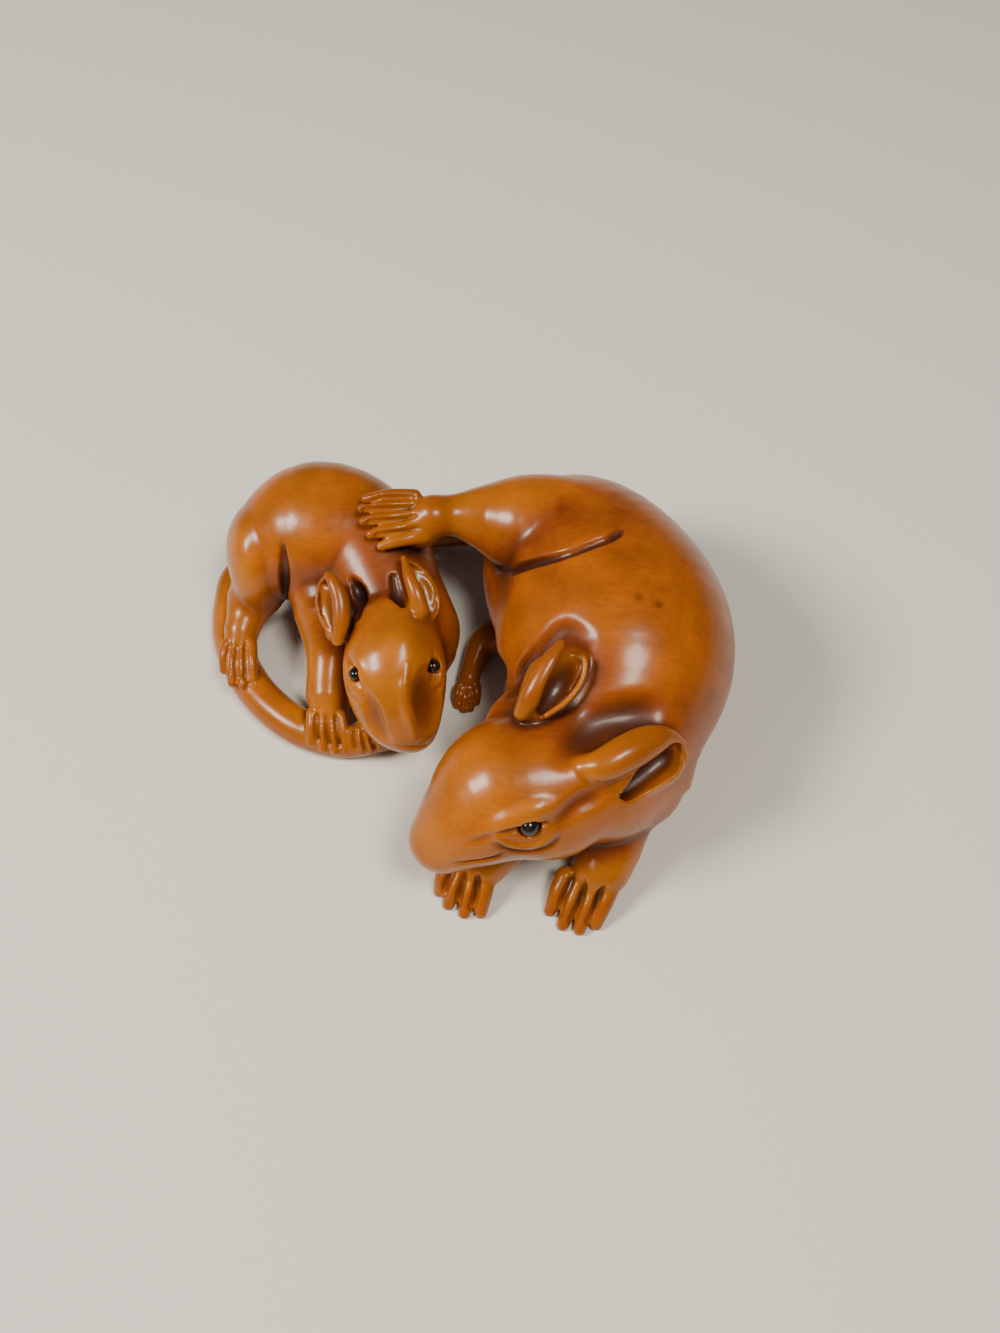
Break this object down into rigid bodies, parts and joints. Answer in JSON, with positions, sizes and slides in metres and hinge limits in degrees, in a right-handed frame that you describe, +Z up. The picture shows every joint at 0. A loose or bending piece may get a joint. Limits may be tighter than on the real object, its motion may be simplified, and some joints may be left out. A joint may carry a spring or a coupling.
{
  "type": "netsuke",
  "caption": "Carved boxwood netsuke of a grown rat curled round a young rat, a hind foot laid on its back, with a shared tail and dark inlaid eyes.",
  "frame": {"origin": "under the middle of the carving, level with its flat soles", "axes": "+Z up, +X along the length of the group from the tail to the grown rat's back, +Y away from the two noses"},
  "size_m": [0.0554, 0.0492, 0.0238],
  "materials": {
    "boxwood": "polished honey-brown boxwood with dark stain in the crevices",
    "dark_horn": "polished dark horn"
  },
  "bodies": {
    "root": {"boxwood_carving": "boxwood", "grown_rat_left_eye": "dark_horn", "grown_rat_right_eye": "dark_horn", "young_rat_left_eye": "dark_horn", "young_rat_right_eye": "dark_horn"}
  },
  "joints": []
}
